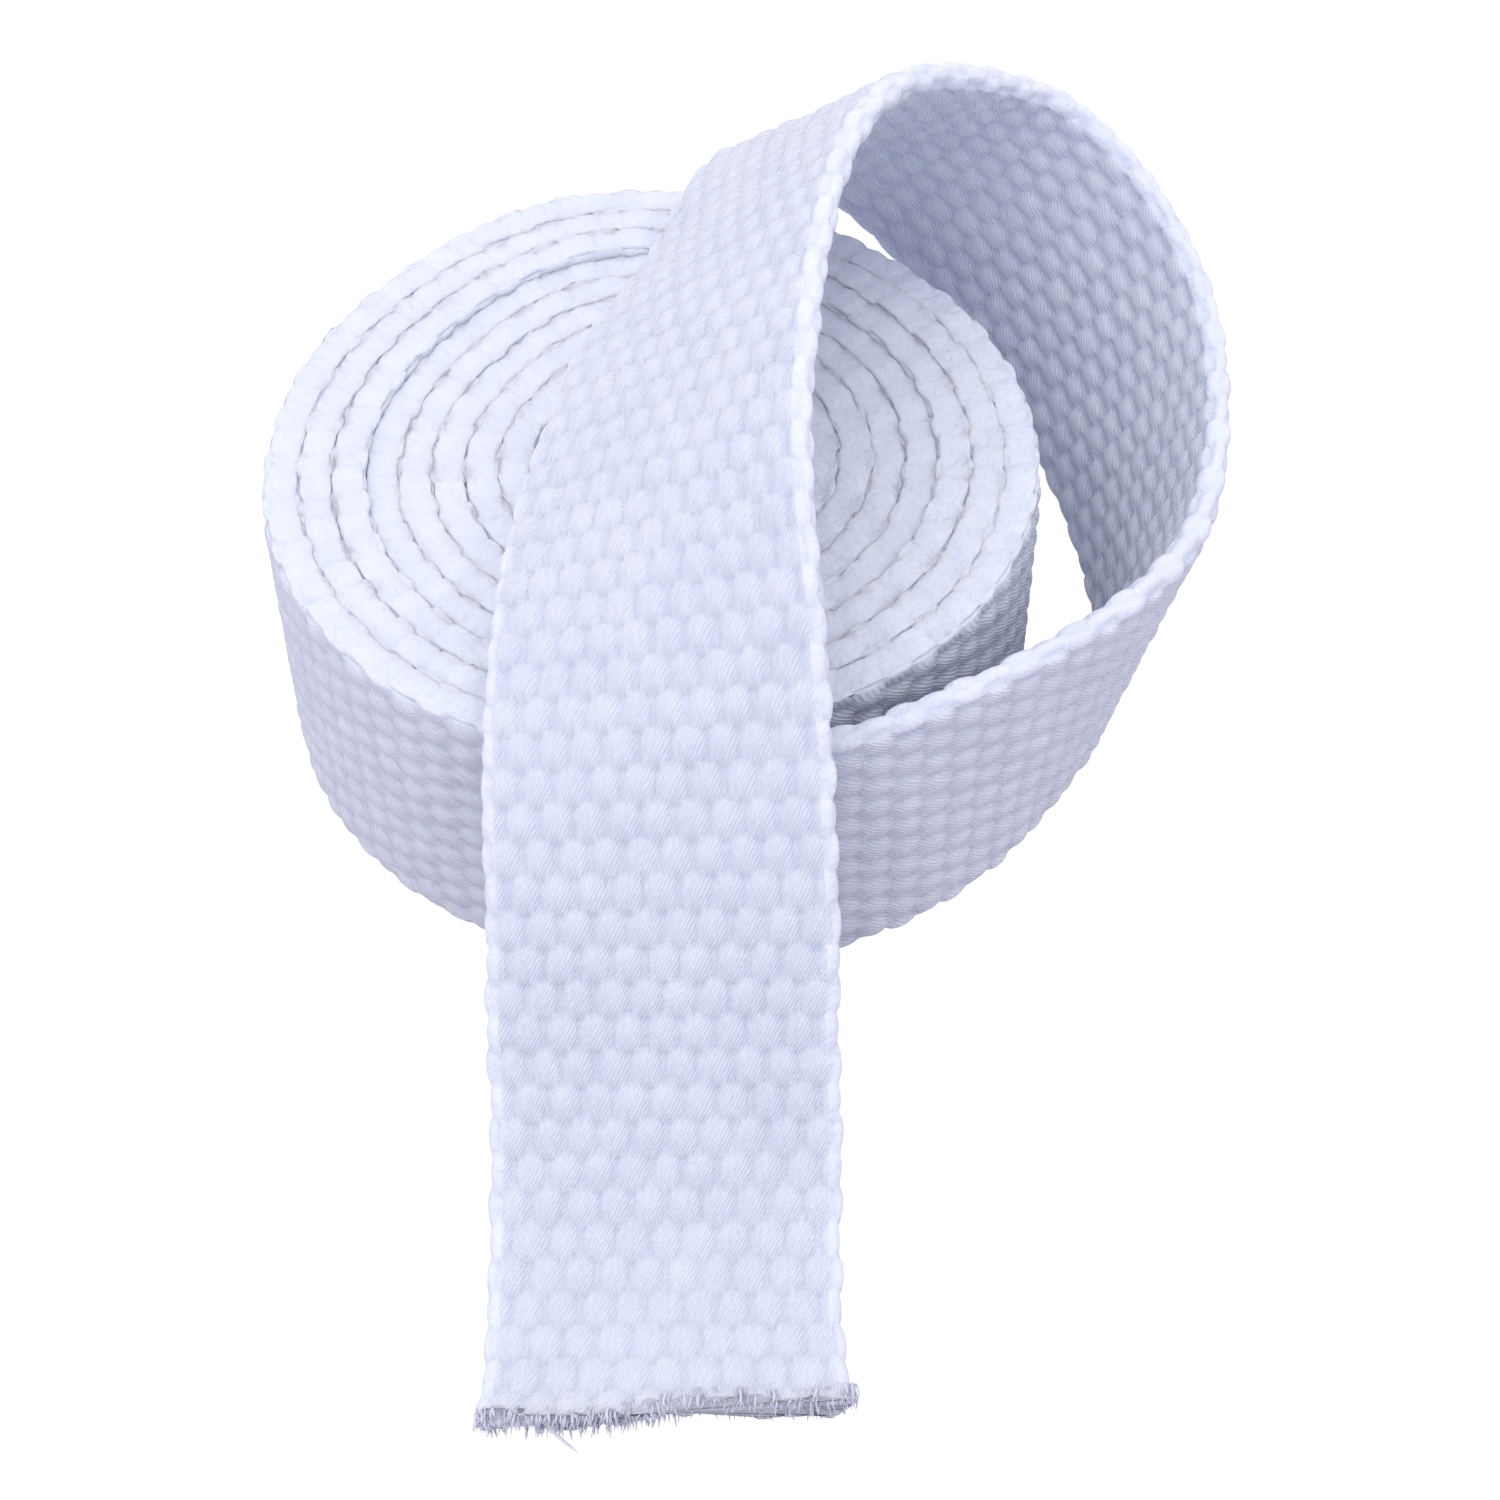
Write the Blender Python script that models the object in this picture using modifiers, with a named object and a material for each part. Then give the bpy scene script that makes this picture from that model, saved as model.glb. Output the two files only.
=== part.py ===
"""A roll of cotton webbing lying flat, with its loose end thrown over it.

The webbing is wound on itself about an upright axis into a short, slightly oval drum. Its outermost
turn leaves the drum at the front right, leans outward, rises in an open arch round the back right,
comes forward across the drum and runs down a ramp to the surface in front, where it is cut off.

Units are millimetres until a mesh is made, then metres. +Z is up, -Y is the front, and the
origin is on the surface under the middle of the drum.
"""

import math

import bmesh
import bpy
import numpy as np

MM = 0.001

# The webbing
WEB_WIDTH = 25.0
WEB_THICK = 2.5
EDGE_ROUND = 0.7  # the soft corner along each edge
CUT_FLARE = 1.2  # how much wider the cut end has spread
FLARE_LENGTH = 22.0

# The drum: the outer face is a spiral that grows by one pitch each turn
TURN_PITCH = 2.6
DRUM_RADIUS = 31.9  # across the drum where the loose end leaves it
FRONT_LONGER = 0.15  # how much further the drum reaches to the front
BACK_BULGE = 2.7  # how much further it bulges at the back
BULGE_ANGLE = 104.0  # where the bulge is highest
LEAVE_ANGLE = -55.0  # degrees from +X, seen from above
STEP_ANGLE = -92.0  # where the drum's solid ends and the loose end's begins
DRUM_SEGMENTS = 120

# The top of the drum is dished, because the outer turns stand proud of the inner ones
PROUD_TURNS = 3.0
DISH_DEPTH = 1.3

# The loose end's middle line, from the drum to the cut. lean is how far the width of the webbing
# tips from upright, and heading is the way that its upper edge points, in degrees from +X.
LOOSE_END = (
    # place, x, y, z, lean, heading
    ("on the drum", -0.3, -31.2, 12.6, 0, -160),
    ("still beside it", 11.3, -30.6, 12.7, 1, -150),
    ("parting from it", 22.6, -25.2, 12.8, 1, -100),
    ("leaning out", 32.0, -17.2, 12.8, 8, -45),
    ("turning back", 38.8, -7.1, 13.0, 15, -38),
    ("beside the drum", 40.4, 4.4, 14.7, 22, -29),
    ("rising", 38.3, 16.2, 18.3, 32, -21),
    ("back corner", 32.5, 25.2, 24.0, 38, -17),
    ("back of the arch", 23.0, 29.6, 31.5, 49, -24),
    ("turning forward", 13.8, 24.5, 38.3, 52, -26),
    ("top of the arch", 7.7, 12.8, 40.2, 44, -20),
    ("over the drum", 3.7, 0.9, 40.0, 51, -17),
    ("coming forward", 1.2, -11.3, 38.6, 58, -15),
    ("flattening", 0.2, -23.3, 35.2, 69, -10),
    ("clear of the front edge", 0.3, -34.2, 28.9, 81, -3),
    ("top of the ramp", 0.6, -43.1, 20.2, 87, -1),
    ("middle of the ramp", 0.7, -51.1, 10.5, 90, 0),
    ("foot of the ramp", 0.7, -60.9, 2.8, 91, 1),
    ("cut end", 0.8, -72.4, 1.3, 90, 2),
)
LOOSE_STEPS = 84
LOOSE_SHADES = (0.80, 0.80, 0.86)
DRUM_SHADES = (0.84, 0.84, 0.89)

# The cut end tapers a little at the corner that has frayed back
FRAY_BACK = 1.9


def clear_scene():
    for old in list(bpy.data.objects):
        bpy.data.objects.remove(old, do_unlink=True)


def make_collection(name):
    collection = bpy.data.collections.new(name)
    bpy.context.scene.collection.children.link(collection)
    return collection


def cotton(name, colour):
    """Matt cotton with a slight sheen, as a Principled material."""
    material = bpy.data.materials.new(name)
    material.use_nodes = True
    shader = material.node_tree.nodes["Principled BSDF"]
    shader.inputs["Base Color"].default_value = (*colour, 1.0)
    shader.inputs["Roughness"].default_value = 0.9
    shader.inputs["Metallic"].default_value = 0.0
    shader.inputs["Sheen Weight"].default_value = 0.25
    return material


def drum_outline(turns_in):
    """Points of the spiral turns_in turns inside the outer face, once round from the step.

    The radius is DRUM_RADIUS at LEAVE_ANGLE and falls by TURN_PITCH for each turn wound back.
    """
    round_angle = np.linspace(360.0, 0.0, DRUM_SEGMENTS + 1)
    wound_back = (LEAVE_ANGLE - STEP_ANGLE) + round_angle
    radius = DRUM_RADIUS - TURN_PITCH * (wound_back / 360.0 + turns_in)
    angle = np.radians(LEAVE_ANGLE - wound_back)
    bulge = np.cos(angle - math.radians(BULGE_ANGLE)).clip(0, 1) ** 4
    longer = FRONT_LONGER + BACK_BULGE * bulge
    return np.stack([radius * np.cos(angle), (radius + longer) * np.sin(angle)], axis=1)


def outline_solid(name, points, low, high, collection):
    """A flat outline as a filled 2D curve, raised from low to high and made a mesh."""
    curve = bpy.data.curves.new(name, "CURVE")
    curve.dimensions = "2D"
    curve.fill_mode = "BOTH"
    curve.extrude = (high - low) / 2 * MM
    spline = curve.splines.new("POLY")
    spline.points.add(len(points) - 1)
    flat = np.zeros((len(points), 4))
    flat[:, :2] = points * MM
    flat[:, 3] = 1.0
    spline.points.foreach_set("co", flat.ravel())
    spline.use_cyclic_u = True
    outline = bpy.data.objects.new(name, curve)
    outline.location = (0.0, 0.0, (high + low) / 2 * MM)
    bpy.context.scene.collection.objects.link(outline)
    return curve_to_mesh(outline, collection)


def curve_to_mesh(outline, collection):
    """Swap a curve object for a mesh object of the same name, with its caps welded on."""
    bpy.context.view_layer.update()
    name = outline.name
    graph = bpy.context.evaluated_depsgraph_get()
    mesh = bpy.data.meshes.new_from_object(outline.evaluated_get(graph))
    place = outline.matrix_world.copy()
    bpy.data.objects.remove(outline, do_unlink=True)
    cage = bmesh.new()
    cage.from_mesh(mesh)
    bmesh.ops.remove_doubles(cage, verts=cage.verts, dist=1e-6)
    bmesh.ops.recalc_face_normals(cage, faces=cage.faces)
    cage.to_mesh(mesh)
    cage.free()
    solid = bpy.data.objects.new(name, mesh)
    solid.matrix_world = place
    collection.objects.link(solid)
    return solid


def cut(solid, cutter):
    """Take the cutter's shape out of the solid, and hide the cutter."""
    boolean = solid.modifiers.new("cut " + cutter.name, "BOOLEAN")
    boolean.operation = "DIFFERENCE"
    boolean.object = cutter
    cutter.hide_render = True
    cutter.display_type = "WIRE"


def make_drum(parts, cutters):
    """The wound drum: a spiral outline with soft edges, and a dish in its top."""
    drum = outline_solid("wound_drum", drum_outline(0.0), 0.0, WEB_WIDTH, parts)
    soft = drum.modifiers.new("soft edges", "BEVEL")
    soft.width = EDGE_ROUND * MM
    soft.segments = 2
    soft.limit_method = "ANGLE"
    soft.angle_limit = math.radians(50)
    dish_floor = WEB_WIDTH - DISH_DEPTH
    dish = outline_solid("dish", drum_outline(PROUD_TURNS), dish_floor, WEB_WIDTH + 1.0, cutters)
    cut(drum, dish)
    drum.data.materials.append(cotton("wound cotton", DRUM_SHADES))
    return drum


def natural_spline(knots, values, at):
    """Natural cubic spline through values at knots, read at the places in at.

    The second derivatives solve the usual three-term equations, and are zero at both ends.
    """
    count = len(knots)
    gap = np.diff(knots)
    system = np.eye(count)
    right = np.zeros(values.shape)
    for row in range(1, count - 1):
        system[row, row - 1] = gap[row - 1]
        system[row, row] = 2 * (gap[row - 1] + gap[row])
        system[row, row + 1] = gap[row]
        slope_after = (values[row + 1] - values[row]) / gap[row]
        slope_before = (values[row] - values[row - 1]) / gap[row - 1]
        right[row] = 6 * (slope_after - slope_before)
    bend = np.linalg.solve(system, right)
    span = np.clip(np.searchsorted(knots, at, side="right") - 1, 0, count - 2)
    width = gap[span][:, None]
    after = (knots[span + 1] - at)[:, None]
    before = (at - knots[span])[:, None]
    curved = (bend[span] * after**3 + bend[span + 1] * before**3) / (6 * width)
    start = (values[span] / width - bend[span] * width / 6) * after
    end = (values[span + 1] / width - bend[span + 1] * width / 6) * before
    return curved + start + end


def unit(vectors):
    return vectors / np.linalg.norm(vectors, axis=1, keepdims=True)


def loose_frames():
    """Middle line, run, width direction and outward normal of the loose end at even steps."""
    middle = np.array([row[1:4] for row in LOOSE_END], float)
    lean = np.radians([row[4] for row in LOOSE_END])
    heading = np.radians([row[5] for row in LOOSE_END])
    across = np.stack(
        [np.sin(lean) * np.cos(heading), np.sin(lean) * np.sin(heading), np.cos(lean)], axis=1
    )
    knots = np.concatenate([[0.0], np.cumsum(np.linalg.norm(np.diff(middle, axis=0), axis=1))])
    at = np.linspace(0.0, knots[-1], LOOSE_STEPS + 1)
    middle = natural_spline(knots, middle, at)
    across = natural_spline(knots, across, at)
    along = unit(np.gradient(middle, axis=0))
    across = unit(across - (across * along).sum(axis=1, keepdims=True) * along)
    outward = np.cross(along, across)
    return at, middle, along, across, outward


def web_section():
    """The webbing's cross-section: a flat bar with cut corners, once round."""
    half_width = WEB_WIDTH / 2
    half_thick = WEB_THICK / 2
    corner = EDGE_ROUND
    return np.array(
        [
            (-half_width, -half_thick + corner),
            (-half_width + corner, -half_thick),
            (0.0, -half_thick),
            (half_width - corner, -half_thick),
            (half_width, -half_thick + corner),
            (half_width, half_thick - corner),
            (half_width - corner, half_thick),
            (0.0, half_thick),
            (-half_width + corner, half_thick),
            (-half_width, half_thick - corner),
        ]
    )


def make_loose_end(parts):
    """The webbing's section carried along the loose end's middle line, closed at both ends."""
    at, middle, along, across, outward = loose_frames()
    section = web_section()
    to_cut = np.clip((at - (at[-1] - FLARE_LENGTH)) / FLARE_LENGTH, 0.0, 1.0)
    spread = 1.0 + CUT_FLARE / WEB_WIDTH * to_cut**2
    side = section[:, 0] * spread[:, None]
    depth = np.broadcast_to(section[:, 1], side.shape)
    points = (
        middle[:, None, :]
        + side[:, :, None] * across[:, None, :]
        + depth[:, :, None] * outward[:, None, :]
    )
    slanted = FRAY_BACK * (section[:, 0] / WEB_WIDTH + 0.5)
    points[-1] -= slanted[:, None] * along[-1]
    rings, sides = side.shape
    corners = np.arange(rings * sides).reshape(rings, sides)
    next_side = np.roll(corners, -1, axis=1)
    walls = np.stack([corners[:-1], next_side[:-1], next_side[1:], corners[1:]], axis=-1)
    faces = walls.reshape(-1, 4).tolist()
    faces.append(corners[0][::-1].tolist())
    faces.append(corners[-1].tolist())
    mesh = bpy.data.meshes.new("loose_end")
    mesh.from_pydata((points.reshape(-1, 3) * MM).tolist(), [], faces)
    cage = bmesh.new()
    cage.from_mesh(mesh)
    bmesh.ops.recalc_face_normals(cage, faces=cage.faces)
    cage.to_mesh(mesh)
    cage.free()
    mesh.shade_smooth()
    mesh.set_sharp_from_angle(angle=math.radians(40))
    mesh.materials.append(cotton("loose cotton", LOOSE_SHADES))
    loose = bpy.data.objects.new("loose_end", mesh)
    parts.objects.link(loose)
    return loose


def main():
    clear_scene()
    parts = make_collection("roll_of_webbing")
    cutters = make_collection("cutters")
    make_drum(parts, cutters)
    make_loose_end(parts)


main()
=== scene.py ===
# %% [markdown]
# # A roll of cotton webbing, from solids to cloth
#
# Webbing is a narrow woven strap. This one is white cotton, 25 mm wide and about 2.5 mm thick, wound
# into a flat drum, with its loose end thrown over the top. The imported model already holds two plain
# solids, the wound drum and the loose end. This lesson dresses them with the real weave: every bump
# of yarn on the outside is worked out as a height over a grid, and a node material adds the fibres.

# %% Load the fixed frame
import math

import bpy
import numpy as np
from mathutils import Matrix


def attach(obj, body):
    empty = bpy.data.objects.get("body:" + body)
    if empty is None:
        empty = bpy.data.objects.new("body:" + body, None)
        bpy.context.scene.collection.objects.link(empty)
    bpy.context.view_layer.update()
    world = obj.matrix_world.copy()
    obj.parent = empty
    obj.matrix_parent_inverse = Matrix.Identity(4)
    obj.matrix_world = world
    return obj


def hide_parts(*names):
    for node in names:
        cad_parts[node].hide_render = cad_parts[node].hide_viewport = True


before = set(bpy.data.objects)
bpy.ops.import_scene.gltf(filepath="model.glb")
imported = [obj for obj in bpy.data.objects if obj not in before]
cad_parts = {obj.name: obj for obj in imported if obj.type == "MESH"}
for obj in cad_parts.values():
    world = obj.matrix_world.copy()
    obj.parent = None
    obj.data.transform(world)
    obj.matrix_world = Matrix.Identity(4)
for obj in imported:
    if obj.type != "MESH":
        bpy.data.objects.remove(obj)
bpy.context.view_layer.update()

# %% [markdown]
# ## The webbing's own measures
#
# A weaver thinks in ends and picks. Ends are the yarns that run along the strap, and picks are the
# crossings of the yarn that runs over and back. All sizes here are in millimetres, as on the solids,
# and are turned to metres only when a mesh is made.

# %% Sizes of the webbing and the roll, in millimetres
MM = 0.001
WEB_WIDTH = 25.0
WEB_THICK = 2.5
PICK = 2.52  # from one crossing to the next, along the strap
COLUMNS = 44  # yarn columns all round the strap: both faces and both edges

TURN_PITCH = 2.6
DRUM_RADIUS = 31.9
FRONT_LONGER = 0.15
BACK_BULGE = 2.7
BULGE_ANGLE = 104.0
LEAVE_ANGLE = -55.0
STEP_ANGLE = -92.0
CORE_RADIUS = 2.0  # middle line of the innermost turn

# place: x, y, z of the middle line, then how far the width tips from upright and where its top
# edge heads, in degrees, as on the solid
LOOSE_END = (
    ("on the drum", -0.3, -31.2, 12.6, 0, -160),
    ("still beside it", 11.3, -30.6, 12.7, 1, -150),
    ("parting from it", 22.6, -25.2, 12.8, 1, -100),
    ("leaning out", 32.0, -17.2, 12.8, 8, -45),
    ("turning back", 38.8, -7.1, 13.0, 15, -38),
    ("beside the drum", 40.4, 4.4, 14.7, 22, -29),
    ("rising", 38.3, 16.2, 18.3, 32, -21),
    ("back corner", 32.5, 25.2, 24.0, 38, -17),
    ("back of the arch", 23.0, 29.6, 31.5, 49, -24),
    ("turning forward", 13.8, 24.5, 38.3, 52, -26),
    ("top of the arch", 7.7, 12.8, 40.2, 44, -20),
    ("over the drum", 3.7, 0.9, 40.0, 51, -17),
    ("coming forward", 1.2, -11.3, 38.6, 58, -15),
    ("flattening", 0.2, -23.3, 35.2, 69, -10),
    ("clear of the front edge", 0.3, -34.2, 28.9, 81, -3),
    ("top of the ramp", 0.6, -43.1, 20.2, 87, -1),
    ("middle of the ramp", 0.7, -51.1, 10.5, 90, 0),
    ("foot of the ramp", 0.7, -60.9, 2.8, 91, 1),
    ("cut end", 0.8, -72.4, 1.3, 90, 2),
)

# %% [markdown]
# ## Small numpy helpers
#
# A strap needs a smooth path, so its few listed stations are joined by a natural cubic spline,
# the curve that a thin springy strip takes through pins. Random unevenness comes from smooth noise
# with a fixed seed, so the cloth is the same at every run.


# %% Helpers: unit vectors, an easing step, a spline and smooth noise
def unit(vectors):
    """Each vector divided by its own length."""
    return vectors / np.linalg.norm(vectors, axis=-1, keepdims=True)


def ease(x):
    """0 below 0, 1 above 1, and 3x^2 - 2x^3 between."""
    x = np.clip(x, 0.0, 1.0)
    return x * x * (3.0 - 2.0 * x)


def natural_spline(knots, values, at):
    """Cubic pieces whose slope and bend agree at the knots, with no bend at the two ends."""
    count = len(knots)
    gap = np.diff(knots)
    slope = np.diff(values, axis=0) / gap[:, None]
    system = np.eye(count)
    inner = np.arange(1, count - 1)
    system[inner, inner - 1] = gap[:-1]
    system[inner, inner] = 2 * (gap[:-1] + gap[1:])
    system[inner, inner + 1] = gap[1:]
    right = np.zeros(values.shape)
    right[1:-1] = 6 * np.diff(slope, axis=0)
    bend = np.linalg.solve(system, right)
    span = np.clip(np.searchsorted(knots, at, side="right") - 1, 0, count - 2)
    width = gap[span][:, None]
    after = (knots[span + 1] - at)[:, None]
    before = (at - knots[span])[:, None]
    curved = (bend[span] * after**3 + bend[span + 1] * before**3) / (6 * width)
    start = (values[span] / width - bend[span] * width / 6) * after
    end = (values[span + 1] / width - bend[span + 1] * width / 6) * before
    return curved + start + end


def smooth_noise(at, step, seed):
    """Random values from -1 to 1 every step from 0 on, joined by eased slopes."""
    place = at / step
    cell = np.floor(place).astype(int)
    values = np.random.default_rng(seed).uniform(-1, 1, cell.max() + 2)
    blend = ease(place - cell)
    return values[cell] * (1 - blend) + values[cell + 1] * blend


# %% [markdown]
# ## The weave as a height
#
# In this plain weave the ends lie so close that they hide the picks. Each end goes over one pick and
# under the next, and its neighbours do the opposite, so the face is a brick pattern of oval bumps.
# A bump map alone would leave the edges straight. Here the bumps are in the mesh, so the outline is
# scalloped as on the real strap.

# %% The height of the yarn over the strap's core
YARN_HALF_WIDTH = 0.97
YARN_DOME = 0.50  # how much lower a yarn's flank is than its back
RISE_OVER = 0.30  # how high a yarn stands where it goes over a pick
DIVE_UNDER = 1.0  # how deep it goes where it dives
VALLEY_FLOOR = -0.36  # what fills the gaps between bumps
SLANT = 0.12  # a bump leans a little with the twist of its yarn
END_TAPER = 0.40  # how much narrower a bump is one pick from its middle
EDGE_CALM = 0.4  # how much lower the bumps are on the strap's two edges
EDGE_COLUMNS = 1.5  # columns on each side of an edge's middle that look like selvedge
CORE_HALF_THICK = 0.95  # half thickness of the strap without its bumps
CORE_EDGE = 1.18  # how far its rounded edges reach past its flat faces
WOUND_HALF_THICK = 1.37  # the same in the drum: over half a pitch, so the turns sink together
WOUND_SQUARE = 0.20  # 1 is a round edge, and less is a squarer one
WAVE_POWER = 0.8  # less than 1 flattens the wave's tops and steepens its sides
YARN_WANDER = 0.05  # random shares: a bump's place, its width and its height
WIDTH_WANDER = 0.07
HEIGHT_WANDER = 0.15
CALM_REACH = 1.1  # columns from an edge's middle over which its bumps are lower
SECTION_ROUND = 2 * (WEB_WIDTH - WEB_THICK) + math.pi * WEB_THICK  # once round the section
COLUMN = SECTION_ROUND / COLUMNS
ROWS_KEPT = 900
UNEVEN = np.random.default_rng(7).normal(0, 1, (COLUMNS, ROWS_KEPT, 3)).clip(-2, 2)


def weave_height(column, pick):
    """Height of the cloth over its core, for every pick (rows) and column (across).

    A yarn in column c rides at a wave of pi * (pick + c): up to RISE_OVER over a pick, and
    steeply down to DIVE_UNDER below where it dives. Across, its back is half an ellipse. The highest
    yarn wins, and the gaps are filled to VALLEY_FLOOR.
    """
    height = np.full((len(pick), len(column)), VALLEY_FLOOR)
    nearest = np.floor(column + 0.5).astype(int)
    for offset in (-1, 0, 1):
        index = nearest + offset
        name = index % COLUMNS
        wave = np.cos(math.pi * (pick[:, None] + index[None, :]))
        wave = np.sign(wave) * np.abs(wave) ** WAVE_POWER
        bump = np.round((pick[:, None] + index[None, :]) / 2).astype(int) * 2 - index[None, :]
        local = pick[:, None] - bump
        uneven = UNEVEN[name[None, :], bump % ROWS_KEPT]
        centre = index + YARN_WANDER * uneven[..., 0] - SLANT * local
        away = (column[None, :] - centre) * COLUMN
        width_share = (1 + WIDTH_WANDER * uneven[..., 1]) * (1 - END_TAPER * local**2)
        half = YARN_HALF_WIDTH * width_share
        dome = np.sqrt(np.clip(1 - (away / half) ** 2, 0, 1)) - 1
        rise = RISE_OVER * (1 + HEIGHT_WANDER * uneven[..., 2])
        lift = np.where(wave > 0, rise, DIVE_UNDER) * wave
        height = np.maximum(height, lift + YARN_DOME * dome)
    from_edge = np.minimum(column % (COLUMNS // 2), -column % (COLUMNS // 2))
    calm = 1 - EDGE_CALM * np.exp(-((from_edge / CALM_REACH) ** 2))
    return height * calm[None, :]


# %% [markdown]
# ## From a path to a woven band
#
# A band is the strap's cross-section carried along a path. The section is a long flat loop, two
# straight faces joined by half circles, and the weave's height pushes each point out from it. One
# function serves the drum and the loose end, so their yarns match where they meet.


# %% The section, the band and the mesh
def section(column, half_thick=CORE_HALF_THICK, square=1.0):
    """Points (across, outward) and outward directions of the core's section at these columns.

    Column 0 is the middle of the lower edge. Columns grow over the outer face to the upper edge
    and come back over the inner face. A square of less than 1 makes the rounded edges squarer.
    """
    flat = WEB_WIDTH - WEB_THICK
    bend = math.pi * WEB_THICK / 2
    round_half = bend / 2
    run = (np.asarray(column) * COLUMN) % SECTION_ROUND
    run_outer = np.minimum(run, SECTION_ROUND - run)
    on_inner = run > SECTION_ROUND / 2
    from_low = np.clip(run_outer / round_half, 0, 1) * (math.pi / 2)
    to_top = np.clip((run_outer - round_half - flat) / round_half, 0, 1) * (math.pi / 2)
    along_face = np.clip(run_outer - round_half, 0, flat) - flat / 2
    across_way = -np.cos(from_low) + np.sin(to_top)
    outward_way = np.sin(from_low) * np.cos(to_top)
    outward_way = np.where(on_inner, -outward_way, outward_way)
    way = np.stack([across_way, outward_way], 1)
    bulge = np.sign(way) * np.abs(way) ** square * (CORE_EDGE, half_thick)
    bulge[:, 0] += along_face
    return bulge, way


def columns_at(outer, inner, low_edge, top_edge):
    """Columns to sample once round, with this many samples a column on each face and edge."""
    half = COLUMNS // 2
    parts = (
        (0, 2, low_edge),
        (2, half - 2, outer),
        (half - 2, half + 2, top_edge),
        (half + 2, COLUMNS - 2, inner),
        (COLUMNS - 2, COLUMNS, low_edge),
    )
    samples = [np.linspace(a, b, int(round((b - a) * n)), endpoint=False) for a, b, n in parts]
    return np.concatenate(samples)


def woven_band(middle, across, outward, pick, column, pressed=0.0, kept=1.0, spread=None):
    """Points of a band on a grid of picks by columns: path + section + weave height.

    pressed, from 0 to 1 along the path, goes over to the thick square section of the wound turns.
    There only the share kept of each column's bumps is left. spread widens the section along the
    path, as at a frayed end.
    """
    place, way = section(column)
    wound_place, _ = section(column, WOUND_HALF_THICK, WOUND_SQUARE)
    pressed = np.broadcast_to(pressed, len(pick))[:, None]
    height = weave_height(column, pick) * (1 - (1 - kept) * pressed)
    side = place[:, 0] + (wound_place - place)[:, 0] * pressed + height * way[:, 0]
    depth = place[:, 1] + (wound_place - place)[:, 1] * pressed + height * way[:, 1]
    if spread is not None:
        side = side * spread[:, None]
    return middle[:, None] + side[..., None] * across[:, None] + depth[..., None] * outward[:, None]


def grid_mesh(name, points, column, pick):
    """A mesh from rings of points, closed round and at both ends, with a map of column and pick.

    The strap's two edges take the second material.
    """
    rings, sides = points.shape[:2]
    corner = np.arange(rings * sides).reshape(rings, sides)
    beside = np.roll(corner, -1, axis=1)
    walls = np.stack([corner[:-1], beside[:-1], beside[1:], corner[1:]], axis=-1).reshape(-1, 4)
    across_map = np.append(column, COLUMNS)
    u = np.stack([across_map[:-1], across_map[1:], across_map[1:], across_map[:-1]], axis=-1)
    v = np.stack([pick[:-1], pick[:-1], pick[1:], pick[1:]], axis=-1)
    u = np.broadcast_to(u[None], (rings - 1, sides, 4))
    v = np.broadcast_to(v[:, None], (rings - 1, sides, 4))
    maps = np.stack([u, v], axis=-1).reshape(-1, 2)
    flat_points, caps, cap_maps = end_caps(points, corner, column, pick)
    made = mesh_object(name, flat_points, [walls, caps], np.concatenate([maps, cap_maps]))
    half = COLUMNS // 2
    middles = np.append((column[:-1] + column[1:]) / 2, column[-1])
    on_edge = np.minimum(middles % half, -middles % half) < EDGE_COLUMNS
    slots = np.zeros(len(made.data.polygons), np.int32)
    slots[: len(walls)] = np.tile(on_edge, rings - 1)
    made.data.polygons.foreach_set("material_index", slots)
    return made


def end_caps(points, corner, column, pick):
    """Fans from the middle of each end ring to its rim, as triangles."""
    rings, sides = corner.shape
    middles = np.stack([points[0].mean(axis=0), points[-1].mean(axis=0)])
    hub = rings * sides + np.arange(2)
    first = np.stack([np.roll(corner[0], -1), corner[0], np.full(sides, hub[0])], axis=-1)
    last = np.stack([corner[-1], np.roll(corner[-1], -1), np.full(sides, hub[1])], axis=-1)
    caps = np.concatenate([first, last])
    rim = np.stack([np.append(column[1:], COLUMNS), column, column], axis=-1)
    cap_u = np.concatenate([rim, rim[:, [1, 0, 2]]]).reshape(-1)
    cap_v = np.repeat([pick[0], pick[-1]], 3 * sides)
    cap_maps = np.stack([cap_u, cap_v], axis=-1)
    return np.concatenate([points.reshape(-1, 3), middles]), caps, cap_maps


def mesh_object(name, points, face_groups, maps=None):
    """A smooth-shaded object from numpy points in millimetres and groups of equal-sized faces."""
    mesh = bpy.data.meshes.new(name)
    mesh.vertices.add(len(points))
    mesh.vertices.foreach_set("co", (points * MM).astype(np.float32).ravel())
    sizes = np.concatenate([np.full(len(g), g.shape[1]) for g in face_groups])
    corners = np.concatenate([g.ravel() for g in face_groups])
    mesh.loops.add(len(corners))
    mesh.loops.foreach_set("vertex_index", corners.astype(np.int32))
    mesh.polygons.add(len(sizes))
    starts = np.concatenate([[0], np.cumsum(sizes)[:-1]])
    mesh.polygons.foreach_set("loop_start", starts.astype(np.int32))
    mesh.polygons.foreach_set("use_smooth", np.ones(len(sizes), bool))
    mesh.update(calc_edges=True)
    if maps is not None:
        layer = mesh.uv_layers.new(name="weave")
        layer.data.foreach_set("uv", maps.astype(np.float32).ravel())
    mesh.validate()
    made = bpy.data.objects.new(name, mesh)
    bpy.context.scene.collection.objects.link(made)
    print(name, "has", sum(len(g) * (g.shape[1] - 2) for g in face_groups), "triangles")
    return made


# %% [markdown]
# ## The path of the loose end
#
# The loose end starts where the drum's outer turn stops, so its first centimetre is eased onto the
# drum. The count of picks runs on from the loose end back into the drum, as on one strap.


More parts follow.
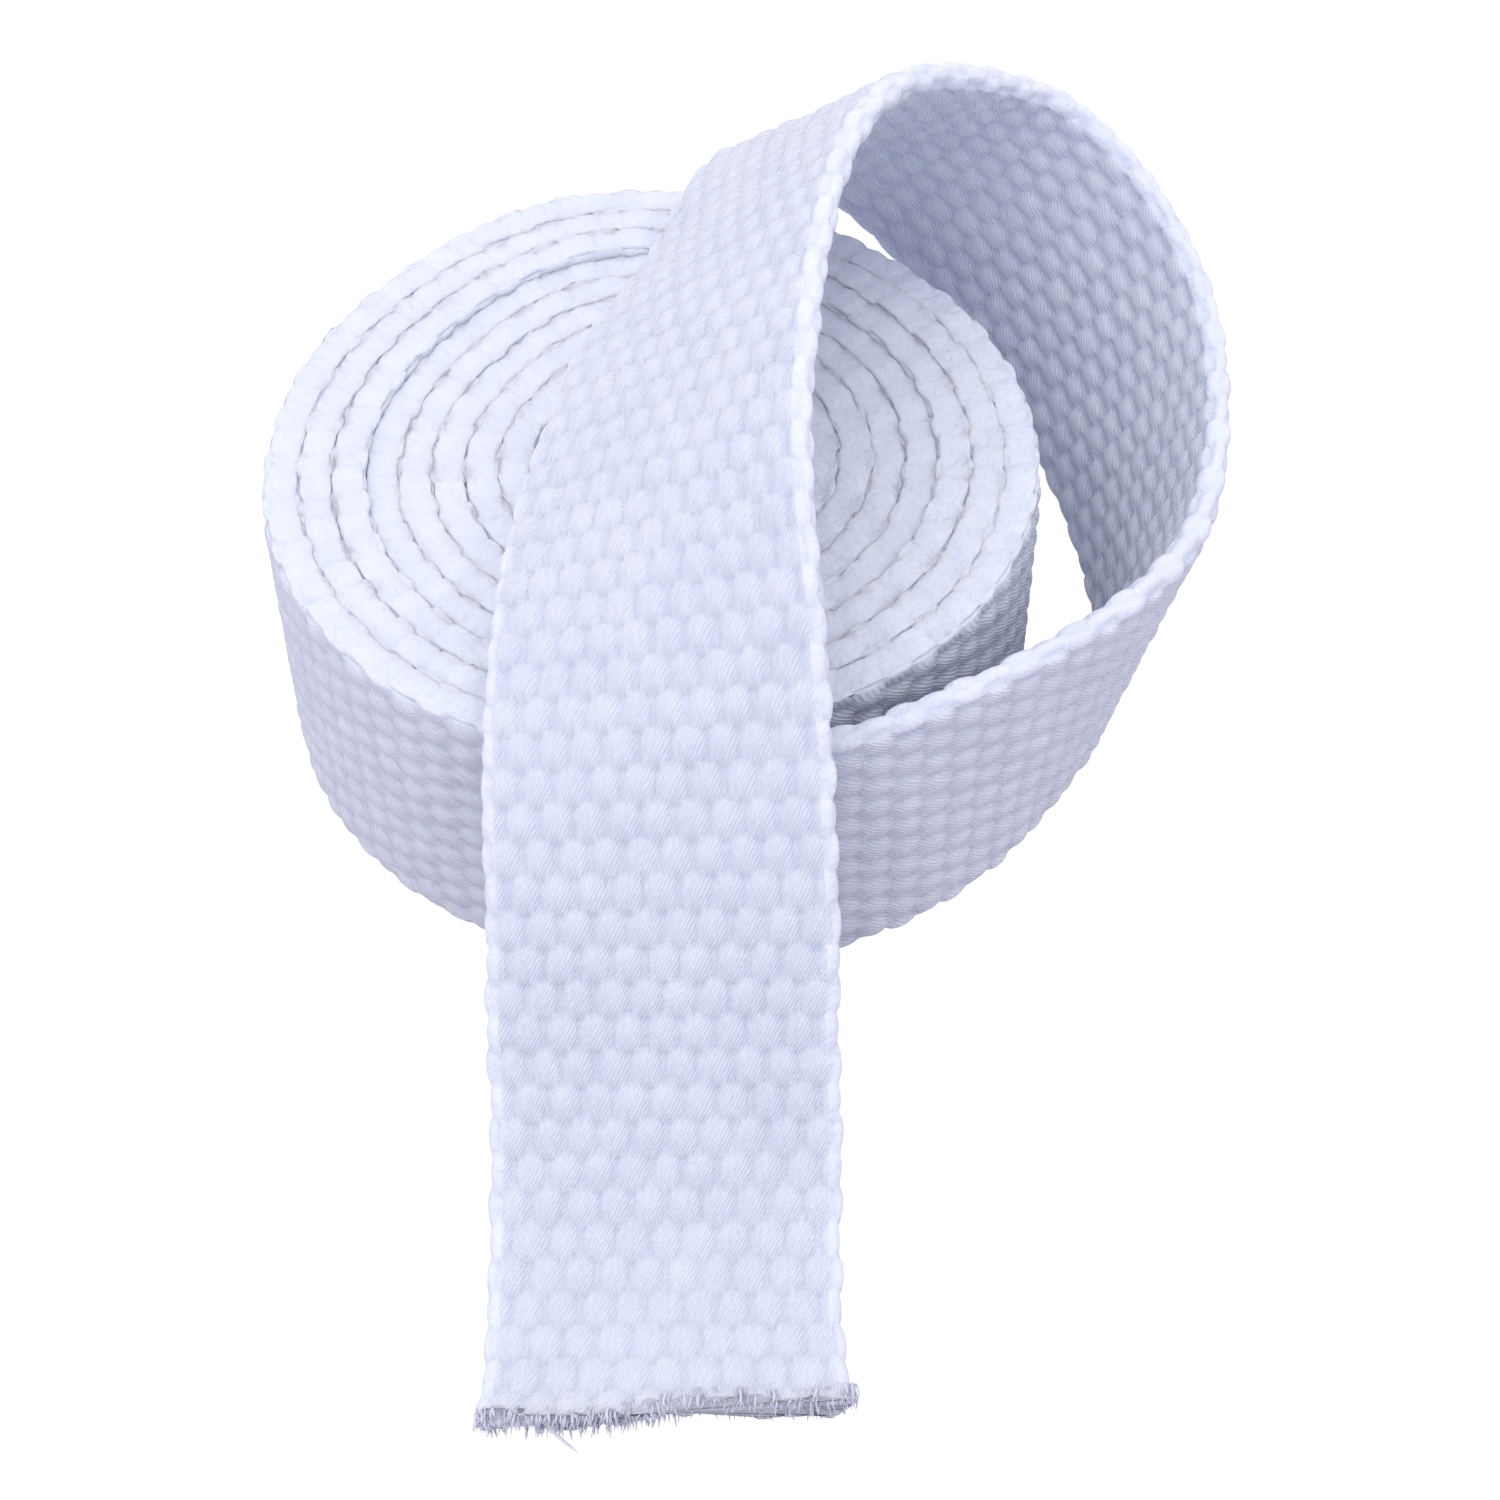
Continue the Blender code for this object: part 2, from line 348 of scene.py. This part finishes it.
# %% Frames along the loose end
def drum_middle(wound_back):
    """Middle line of the winding, wound back this many degrees from where the strap leaves.

    The radius falls by one pitch a turn, and the back stands out a little more than the front.
    """
    radius = DRUM_RADIUS - WEB_THICK / 2 - TURN_PITCH * wound_back / 360.0
    angle = np.radians(LEAVE_ANGLE - wound_back)
    bulge = np.cos(angle - math.radians(BULGE_ANGLE)).clip(0, 1) ** 4
    longer = FRONT_LONGER + BACK_BULGE * bulge
    x = radius * np.cos(angle)
    y = (radius + longer) * np.sin(angle)
    return np.stack([x, y, np.full(len(x), WEB_WIDTH / 2)], axis=1)


STEP_BACK = LEAVE_ANGLE - STEP_ANGLE
FIRST_EASE = 10.0
ROWS_BEFORE_CUT = 26.5  # picks from the cut to the first row counted from the front edge


def loose_path(step):
    """Middle line, width direction, outward normal and length along the loose end."""
    middle = np.array([row[1:4] for row in LOOSE_END], float)
    lean = np.radians([row[4] for row in LOOSE_END])
    heading = np.radians([row[5] for row in LOOSE_END])
    across = np.stack(
        [np.sin(lean) * np.cos(heading), np.sin(lean) * np.sin(heading), np.cos(lean)], axis=1
    )
    knots = np.concatenate([[0.0], np.cumsum(np.linalg.norm(np.diff(middle, axis=0), axis=1))])
    at = np.linspace(0.0, knots[-1], int(knots[-1] / step) + 1)
    middle = natural_spline(knots, middle, at)
    across = natural_spline(knots, across, at)
    join = drum_middle(np.array([STEP_BACK]))[0]
    middle += (join - middle[0]) * (1 - ease(at / FIRST_EASE))[:, None]
    run = np.concatenate([[0.0], np.cumsum(np.linalg.norm(np.diff(middle, axis=0), axis=1))])
    along = unit(np.gradient(middle, axis=0))
    across = unit(across - (across * along).sum(axis=1, keepdims=True) * along)
    return middle, across, np.cross(along, across), run


loose_middle, loose_across, loose_outward, loose_run = loose_path(PICK / 5)
LOOSE_LENGTH = loose_run[-1]
FIRST_PICK = ROWS_BEFORE_CUT - LOOSE_LENGTH / PICK
print("loose end is", round(LOOSE_LENGTH, 1), "mm long")

# %% [markdown]
# ## The loose end itself
#
# A cut strap spreads at its end, because nothing holds the outer yarns. So the section widens over
# the last picks, and each yarn stops at its own length.

# %% Make the loose end
CUT_FLARE = 1.4  # how much wider the strap is at its cut
FLARE_LENGTH = 9.0
PATH_WANDER = 0.12  # how far the strap strays sideways from its path
WANDER_STEP = 7.0
FRAY_UNEVEN = 0.28
CUT_WAVE = 0.35  # the cut line's own waviness
FRAY_BACK = 1.9  # the cut runs back this far at the strap's right edge
FRINGE = 0.4  # the band stops this far short, and cut fibres fill the rest


def cut_back(side):
    """How far the cut lies behind the end of the path, for places across the strap."""
    return FRAY_BACK * (side / WEB_WIDTH + 0.5) + CUT_WAVE * np.sin(side * 0.45 + 0.6)


def make_loose_end():
    """The strap's band along the loose path, widened and uneven at its cut."""
    column = columns_at(5, 5, 5, 5)
    pick = FIRST_PICK + loose_run / PICK
    left = LOOSE_LENGTH - loose_run
    spread = 1 + CUT_FLARE / WEB_WIDTH * ease(1 - left / FLARE_LENGTH) ** 2
    wander = PATH_WANDER * smooth_noise(loose_run, WANDER_STEP, 3)
    middle = loose_middle + wander[:, None] * loose_across * ease(loose_run / 20)[:, None]
    points = woven_band(middle, loose_across, loose_outward, pick, column, spread=spread)
    yarn = np.random.default_rng(11).normal(0, FRAY_UNEVEN, COLUMNS + 1)
    side = section(column)[0][:, 0]
    cut_line = np.interp(column, np.arange(COLUMNS + 1), yarn) + cut_back(side) + FRINGE
    cut_place = loose_middle[-1, 1] + cut_line
    beyond = np.maximum(cut_place - points[..., 1], 0)
    points[..., 1] += 0.98 * beyond
    return grid_mesh("loose_webbing", points, column, pick)


loose_webbing = make_loose_end()

# %% [markdown]
# ## The wound drum
#
# The drum is one long spiral. Its outer turn shows its whole outer face, so it gets every bump. The
# turns inside show only their upper and lower edges, so their grid is fine there and coarse on the
# hidden faces. The outer turns stand a little proud, and each turn wanders in height and radius.

# %% Make the wound turns
PROUD_TURNS = 3.0
DISH_BACK = 0.75  # how far the inner turns lie lower, at the back left
DISH_FRONT = 0.3
DISH_TOWARD = 120.0  # angle seen from above at which the dish is deepest
DISH_RAMP = 0.08  # turns over which the step down to the dish is made
TURN_WANDER = 0.16  # how far the turns' upper edges stray up and down
TURN_LOWER = 0.10  # how much lower they lie on average
TURN_SHIFT = 0.05  # how far the turns stray in and out
SETTLE_RUN = 12.0  # the loose end's section goes over to the wound one in this length
FELT_REACH = 2.2  # the random lumps reach this far down from the top of the roll
EDGE_FELT = 0.05  # random lumps on the turns' upper edges
OUTER_TURNS = 1.04
EDGE_KEPT = 0.8  # share of the bumps kept on the edges, and on faces pressed by a neighbour
PRESSED_KEPT = 0.1
EDGE_KEPT_COLUMNS = 1.6


def drum_path(first_back, last_back, step):
    """Frames along the winding, from last_back degrees wound back out to first_back."""
    fine = np.linspace(last_back, first_back, 6000)
    run = np.concatenate(
        [[0.0], np.cumsum(np.linalg.norm(np.diff(drum_middle(fine), axis=0), axis=1))]
    )
    back = np.interp(np.linspace(0, run[-1], int(run[-1] / step) + 1), run, fine)
    middle = drum_middle(back)
    run = np.concatenate([[0.0], np.cumsum(np.linalg.norm(np.diff(middle, axis=0), axis=1))])
    return back, middle, run - run[-1]


def kept_bumps(column, outer_face):
    """Share of the bumps that stays on the turns: most on the edges, few on pressed faces."""
    half = COLUMNS // 2
    on_edge = np.minimum(column % half, -column % half) < EDGE_KEPT_COLUMNS
    on_outer = column < half
    return np.where(on_edge, EDGE_KEPT, np.where(on_outer, outer_face, PRESSED_KEPT))


def wound_band(name, first_back, last_back, step, column, run_end, outer_face):
    """A stretch of the winding as a woven band, dished on top and a little uneven."""
    back, middle, run = drum_path(first_back, last_back, step)
    along = unit(np.gradient(middle, axis=0))
    across = np.tile([0.0, 0.0, 1.0], (len(middle), 1))
    outward = np.cross(along, across)
    turns_in = (back - STEP_BACK) / 360.0
    toward_back = 0.5 + 0.5 * np.cos(np.radians(LEAVE_ANGLE - back - DISH_TOWARD))
    dish = DISH_FRONT + (DISH_BACK - DISH_FRONT) * toward_back
    dish = dish * ease((turns_in - PROUD_TURNS) / DISH_RAMP + 0.5)
    run_in = run_end - run
    settled = ease(run_in / SETTLE_RUN)
    rise = (TURN_WANDER * smooth_noise(run_in, WANDER_STEP, 21) - TURN_LOWER) * settled
    shift = TURN_SHIFT * smooth_noise(run_in, 6.0, 22) * settled
    middle = middle + shift[:, None] * outward
    pick = FIRST_PICK - run_in / PICK
    kept = kept_bumps(column, outer_face)
    points = woven_band(middle, across, outward, pick, column, settled, kept)
    upper = np.clip(points[..., 2] / WEB_WIDTH, 0, 1)
    points[..., 2] += upper * (rise - dish)[:, None]
    felt = np.random.default_rng(23).normal(0, EDGE_FELT, points.shape[:2])
    points[..., 2] += felt * (points[..., 2] > WEB_WIDTH - FELT_REACH)
    points[..., 2] = np.maximum(points[..., 2], 0.0)
    return grid_mesh(name, points, column, pick), -run[0]


outer_back = STEP_BACK + 360 * OUTER_TURNS
outer_turn, outer_run = wound_band(
    "outer_turn", STEP_BACK, outer_back, PICK / 5, columns_at(5, 1, 4, 6), 0.0, 1.0
)
core_back = (DRUM_RADIUS - WEB_THICK / 2 - CORE_RADIUS) / TURN_PITCH * 360
inner_turns, inner_run = wound_band(
    "inner_turns", outer_back, core_back, PICK / 5, columns_at(0.15, 0.15, 2, 6), outer_run, PRESSED_KEPT
)
print("webbing in the roll", round(outer_run + inner_run), "mm")

# %% [markdown]
# ## Ends of yarn at the cut
#
# Close up, the cut is a row of small brushes, one for each yarn, and one thread has come loose. Each
# fibre is a thin tube along a short bent path, and all are worked out in one array.


# %% Make the cut yarn ends and the stray thread
def fibres(name, root, tip, bow, radius, steps=4, sides=4):
    """Thin tapering tubes from root to tip, bowed sideways by bow at their middles."""
    count = len(root)
    part = np.linspace(0, 1, steps + 1)[None, :, None]
    path = root[:, None] * (1 - part) + tip[:, None] * part
    path = path + bow[:, None] * (4 * part * (1 - part))
    run = unit(np.gradient(path, axis=1))
    side = unit(np.cross(run, np.array([0.31, 0.17, 0.93])))
    lift = np.cross(run, side)
    turn = np.linspace(0, 2 * math.pi, sides, endpoint=False)
    ring = np.cos(turn)[:, None] * side[:, :, None] + np.sin(turn)[:, None] * lift[:, :, None]
    taper = radius[:, None, None, None] * (1 - 0.75 * part[..., None] ** 3)
    points = path[:, :, None] + ring * taper
    corner = np.arange(count * (steps + 1) * sides).reshape(count, steps + 1, sides)
    beside = np.roll(corner, -1, axis=2)
    walls = np.stack([corner[:, :-1], beside[:, :-1], beside[:, 1:], corner[:, 1:]], axis=-1)
    ends = np.concatenate([corner[:, 0, ::-1], corner[:, -1]])
    return mesh_object(name, points.reshape(-1, 3), [walls.reshape(-1, 4), ends])


FIBRES_A_YARN = 14


def make_cut_ends():
    """A small brush of fibres at the end of every yarn column round the cut."""
    draw = np.random.default_rng(5)
    column = np.repeat(np.arange(COLUMNS), FIBRES_A_YARN)
    column = column + draw.normal(0, 0.33, COLUMNS * FIBRES_A_YARN)
    place, way = section(column)
    depth = draw.uniform(0.15, 1.15, len(column))
    side = (place[:, 0] - way[:, 0] * (1 - depth) * 0.8) * (1 + CUT_FLARE / WEB_WIDTH)
    lift = place[:, 1] * depth
    end = len(loose_middle) - 1
    root = (
        loose_middle[end]
        + side[:, None] * loose_across[end]
        + lift[:, None] * loose_outward[end]
    )
    root[:, 1] += cut_back(place[:, 0]) + FRINGE + 0.7
    reach = draw.uniform(0.9, 1.6, len(column))
    splay = draw.normal(0, 0.22, (len(column), 2))
    tip = root + np.stack([splay[:, 0], -reach, splay[:, 1]], axis=1)
    tip[:, 2] = tip[:, 2].clip(0.12, 2.6)
    root[:, 2] = root[:, 2].clip(0.15, 2.5)
    bow = draw.normal(0, 0.08, (len(column), 3))
    return fibres("cut_yarn_ends", root, tip, bow, draw.uniform(0.06, 0.12, len(column)))


cut_yarn_ends = make_cut_ends()
STRAY_START = (-8.2, -71.3, 1.9)
STRAY_END = (-5.3, -73.6, 0.35)
STRAY_BOW = (-0.1, -0.3, 0.3)
stray_thread = fibres(
    "stray_thread",
    np.array([STRAY_START]) + np.array([[0, 0, 0], [0.12, 0.1, 0.1], [-0.1, 0.05, 0.15]]),
    np.array([STRAY_END]) + np.array([[0, 0, 0], [-0.3, 0.35, 0.0], [-0.6, 0.5, 0.1]]),
    np.array([STRAY_BOW] * 3),
    np.array([0.13, 0.1, 0.08]),
    steps=14,
    sides=6,
)

# %% [markdown]
# ## Cotton
#
# Bleached cotton is nearly white, very matt, and lets a little light through, which keeps its
# shadows pale. The fine twisted fibres of each yarn run aslant over the bumps. They follow the
# strap's own map, whose two numbers are the yarn column and the pick.


# %% The cotton material
def cotton(name, colour, strands=True, grain=0.35):
    """Matt white cotton: fibre lines along the twist, soft mottling and a short sheen.

    grain is the strength of the small random roughness. Without strands it is lumps of half a
    millimetre, as where yarns turn round at an edge, and fibres too short to have a direction.
    """
    material = bpy.data.materials.new(name)
    material.use_nodes = True
    nodes, links = material.node_tree.nodes, material.node_tree.links
    shader = nodes["Principled BSDF"]
    shader.inputs["Roughness"].default_value = 0.92
    shader.inputs["Sheen Weight"].default_value = 0.15
    shader.inputs["Sheen Roughness"].default_value = 0.6
    shader.inputs["Specular IOR Level"].default_value = 0.25
    shader.inputs["Subsurface Weight"].default_value = 0.5
    shader.inputs["Subsurface Radius"].default_value = (0.9, 0.9, 1.0)
    shader.inputs["Subsurface Scale"].default_value = 0.0014

    place = nodes.new("ShaderNodeTexCoord")
    mottle = nodes.new("ShaderNodeTexNoise")
    mottle.inputs["Scale"].default_value = 260.0
    mottle.inputs["Detail"].default_value = 3.0
    links.new(place.outputs["Object"], mottle.inputs["Vector"])
    tones = nodes.new("ShaderNodeValToRGB")
    tones.color_ramp.elements[0].position = 0.30
    tones.color_ramp.elements[0].color = (*[c * 0.93 for c in colour[:2]], colour[2] * 0.95, 1)
    tones.color_ramp.elements[1].position = 0.68
    tones.color_ramp.elements[1].color = (*colour, 1)
    links.new(mottle.outputs["Fac"], tones.inputs["Fac"])
    links.new(tones.outputs["Color"], shader.inputs["Base Color"])

    fuzz = nodes.new("ShaderNodeTexNoise")
    fuzz.inputs["Scale"].default_value = 3200.0 if strands else 1500.0
    fuzz.inputs["Detail"].default_value = 2.0 if strands else 3.5
    links.new(place.outputs["Object"], fuzz.inputs["Vector"])
    soft = nodes.new("ShaderNodeBump")
    soft.inputs["Strength"].default_value = grain
    soft.inputs["Distance"].default_value = 0.00012 if strands else 0.0004
    links.new(fuzz.outputs["Fac"], soft.inputs["Height"])
    links.new(soft.outputs["Normal"], shader.inputs["Normal"])
    if strands:
        weave_map = nodes.new("ShaderNodeUVMap")
        weave_map.uv_map = "weave"
        turn = nodes.new("ShaderNodeMapping")
        turn.inputs["Rotation"].default_value = (0, 0, math.radians(-48))
        links.new(weave_map.outputs["UV"], turn.inputs["Vector"])
        twist = nodes.new("ShaderNodeTexWave")
        twist.wave_type = "BANDS"
        twist.bands_direction = "X"
        twist.inputs["Scale"].default_value = 1.9
        twist.inputs["Distortion"].default_value = 2.2
        twist.inputs["Detail"].default_value = 2.0
        twist.inputs["Detail Scale"].default_value = 1.5
        links.new(turn.outputs["Vector"], twist.inputs["Vector"])
        strand = nodes.new("ShaderNodeBump")
        strand.inputs["Strength"].default_value = 0.8
        strand.inputs["Distance"].default_value = 0.00014
        links.new(twist.outputs["Fac"], strand.inputs["Height"])
        links.new(strand.outputs["Normal"], soft.inputs["Normal"])
    return material


COTTON_WHITE = (0.79, 0.83, 0.94)
CUT_SHADE = (0.80, 0.81, 0.95)
woven_cotton = cotton("woven cotton", COTTON_WHITE)
edge_cotton = cotton("edge cotton", COTTON_WHITE, strands=False, grain=0.95)
cut_cotton = cotton("cut cotton", CUT_SHADE, strands=False)
for piece in (loose_webbing, outer_turn, inner_turns):
    piece.data.materials.append(woven_cotton)
    piece.data.materials.append(edge_cotton)
cut_yarn_ends.data.materials.append(cut_cotton)
stray_thread.data.materials.append(woven_cotton)

# %% [markdown]
# ## Tie the pieces to the frame
#
# The new pieces stand for the two plain solids and ride on the one body.

# %% Ride and replace
for piece in (loose_webbing, outer_turn, inner_turns, cut_yarn_ends, stray_thread):
    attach(piece, "root")
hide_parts("loose_end")
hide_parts("wound_drum")
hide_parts("wound_drum")

# %% [markdown]
# ## Floor, light and camera
#
# A pale floor, two broad soft lights and a pale sky give the even,
# high-key light of a product picture. To the camera alone the floor is a white card, so no shadow
# shows on it. The camera looks down at 49 degrees through a 69 mm lens.

# %% Stage and light
FLOOR_SIZE = 4000.0
FLOOR_STEPS = 9


def make_floor():
    """A flat square grid at height 0."""
    line = np.linspace(-FLOOR_SIZE / 2, FLOOR_SIZE / 2, FLOOR_STEPS)
    x, y = np.meshgrid(line, line)
    points = np.stack([x.ravel(), y.ravel(), np.full(x.size, -0.02)], axis=1)
    corner = np.arange(x.size).reshape(x.shape)
    faces = np.stack(
        [corner[:-1, :-1], corner[:-1, 1:], corner[1:, 1:], corner[1:, :-1]], axis=-1
    ).reshape(-1, 4)
    return mesh_object("floor", points, [faces])


floor = make_floor()
floor_paint = bpy.data.materials.new("pale floor")
floor_paint.use_nodes = True
floor_shader = floor_paint.node_tree.nodes["Principled BSDF"]
floor_shader.inputs["Base Color"].default_value = (0.55, 0.53, 0.62, 1)
floor_shader.inputs["Roughness"].default_value = 0.9
floor_nodes, floor_links = floor_paint.node_tree.nodes, floor_paint.node_tree.links
white_card = floor_nodes.new("ShaderNodeEmission")
white_card.inputs["Color"].default_value = (1, 1, 1, 1)
white_card.inputs["Strength"].default_value = 1.05
seen = floor_nodes.new("ShaderNodeLightPath")
either = floor_nodes.new("ShaderNodeMixShader")
floor_links.new(seen.outputs["Is Camera Ray"], either.inputs["Fac"])
floor_links.new(floor_shader.outputs["BSDF"], either.inputs[1])
floor_links.new(white_card.outputs["Emission"], either.inputs[2])
floor_links.new(either.outputs["Shader"], floor_nodes["Material Output"].inputs["Surface"])
floor.data.materials.append(floor_paint)

SOFT_SIZE = 0.30
WARM_WHITE = (1.0, 0.99, 0.97)


def soft_light(name, place, aim, power, colour=(1.0, 1.0, 1.0)):
    """A square area light, in metres and watts, that looks at a point."""
    lamp = bpy.data.lights.new(name, "AREA")
    lamp.size = SOFT_SIZE
    lamp.energy = power
    lamp.color = colour
    made = bpy.data.objects.new(name, lamp)
    made.location = place
    toward = np.array(aim) - np.array(place)
    yaw = math.atan2(toward[1], toward[0])
    tilt = math.atan2(math.hypot(toward[0], toward[1]), -toward[2])
    made.rotation_euler = (tilt, 0, yaw - math.pi / 2)
    bpy.context.scene.collection.objects.link(made)


soft_light("overhead softbox", (0.12, 0.04, 0.56), (0, 0, 0), 0.34, WARM_WHITE)
soft_light("front card", (-0.10, -0.18, 0.42), (0.02, 0, 0.02), 0.42)

world = bpy.data.worlds.new("pale sky")
world.use_nodes = True
world.node_tree.nodes["Background"].inputs["Color"].default_value = (0.93, 0.93, 1.0, 1)
world.node_tree.nodes["Background"].inputs["Strength"].default_value = 0.99
bpy.context.scene.world = world
bpy.context.scene.view_settings.view_transform = "Standard"

# %% Camera
CAMERA_PLACE = (6.90, -166.30, 180.14)
CAMERA_YAW = 0.0
CAMERA_PITCH = 0.855
CAMERA_ROLL = -0.0074
CAMERA_LENS = 68.8
lens = bpy.data.cameras.new("camera")
lens.sensor_width = 36.0
lens.lens = CAMERA_LENS
lens.clip_start = 0.01
lens.clip_end = 20.0
camera = bpy.data.objects.new("camera", lens)
level = np.array([math.cos(CAMERA_YAW), -math.sin(CAMERA_YAW), 0.0])
ahead = np.array([math.sin(CAMERA_YAW), math.cos(CAMERA_YAW), 0.0]) * math.cos(CAMERA_PITCH)
ahead[2] = -math.sin(CAMERA_PITCH)
upright = np.cross(level, ahead)
across_view = level * math.cos(CAMERA_ROLL) + upright * math.sin(CAMERA_ROLL)
up_view = upright * math.cos(CAMERA_ROLL) - level * math.sin(CAMERA_ROLL)
stand = np.eye(4)
stand[:3, :3] = np.stack([across_view, up_view, -ahead], axis=1)
stand[:3, 3] = np.array(CAMERA_PLACE) * MM
camera.matrix_world = Matrix(stand.tolist())
bpy.context.scene.collection.objects.link(camera)
bpy.context.scene.camera = camera
